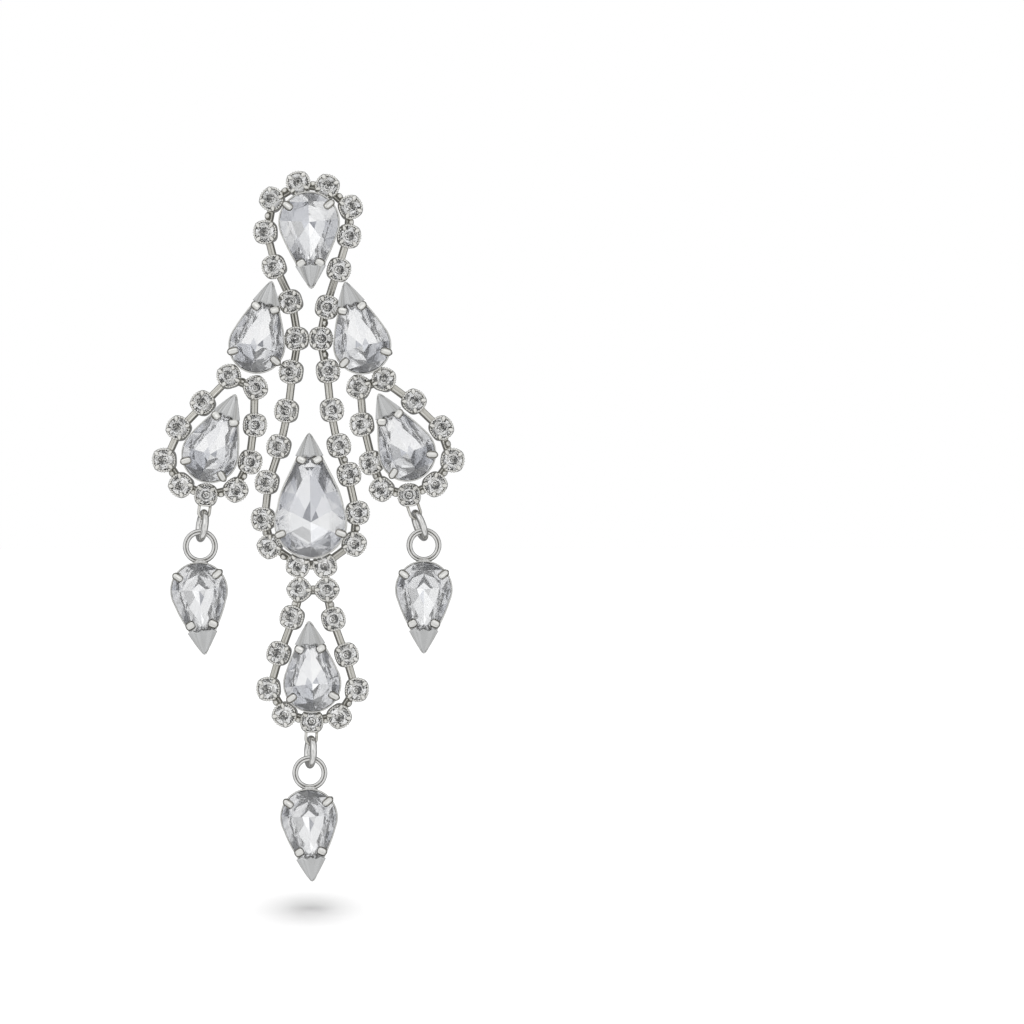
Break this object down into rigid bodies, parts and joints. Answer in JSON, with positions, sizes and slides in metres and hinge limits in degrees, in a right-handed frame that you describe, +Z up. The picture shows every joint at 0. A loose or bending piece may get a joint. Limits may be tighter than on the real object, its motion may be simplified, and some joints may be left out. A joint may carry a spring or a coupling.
{
  "type": "chandelier earring",
  "caption": "Long chandelier earring of stone-set cup chain looped round claw-set pear stones, with pear drops on oval links.",
  "frame": {"origin": "where the post leaves its pad, at the front of the ear lobe that holds the earring up", "axes": "+Z up the length of the hanging earring, +Y along the post towards the back of the lobe, the stones facing -Y"},
  "size_m": [0.0398, 0.0157, 0.0911],
  "materials": {
    "plated_metal": "polished",
    "stone_chain": "polished",
    "crystal": "polished"
  },
  "bodies": {
    "frame": {"ear_post": "plated_metal", "upper_chain": "stone_chain", "lower_chain": "stone_chain", "left_side_chain": "stone_chain", "right_side_chain": "stone_chain", "top_setting": "plated_metal", "top_stone": "crystal", "upper_left_setting": "plated_metal", "upper_left_stone": "crystal", "upper_right_setting": "plated_metal", "upper_right_stone": "crystal", "left_side_setting": "plated_metal", "left_side_stone": "crystal", "right_side_setting": "plated_metal", "right_side_stone": "crystal", "centre_setting": "plated_metal", "centre_stone": "crystal", "lower_setting": "plated_metal", "lower_stone": "crystal"},
    "left_link": {"left_link": "plated_metal"},
    "left_drop": {"left_drop_setting": "plated_metal", "left_drop_stone": "crystal"},
    "centre_link": {"centre_link": "plated_metal"},
    "centre_drop": {"centre_drop_setting": "plated_metal", "centre_drop_stone": "crystal"},
    "right_link": {"right_link": "plated_metal"},
    "right_drop": {"right_drop_setting": "plated_metal", "right_drop_stone": "crystal"}
  },
  "joints": [
    {"name": "left_link_swing", "type": "hinge", "parent": "frame", "child": "left_link", "pos_m": [-0.01369, -0.00184, -0.03795], "axis": [0.9305, 0.3387, -0.1392], "range_deg": [-60, 60]},
    {"name": "left_drop_sway", "type": "hinge", "parent": "left_link", "child": "left_drop", "pos_m": [-0.01405, -0.00197, -0.04065], "axis": [0, 1, 0], "range_deg": [-30, 60]},
    {"name": "centre_link_swing", "type": "hinge", "parent": "frame", "child": "centre_link", "pos_m": [0.00015, -0.00175, -0.06705], "axis": [0.9384, 0.3416, -0.0523], "range_deg": [-60, 60]},
    {"name": "centre_drop_sway", "type": "hinge", "parent": "centre_link", "child": "centre_drop", "pos_m": [0.00002, -0.0018, -0.06977], "axis": [0, 1, 0], "range_deg": [-60, 60]},
    {"name": "right_link_swing", "type": "hinge", "parent": "frame", "child": "right_link", "pos_m": [0.01381, -0.00133, -0.03795], "axis": [0.883, 0.3214, 0.342], "range_deg": [-60, 60]},
    {"name": "right_drop_sway", "type": "hinge", "parent": "right_link", "child": "right_drop", "pos_m": [0.01468, -0.00101, -0.04051], "axis": [0, 1, 0], "range_deg": [-60, 30]}
  ]
}
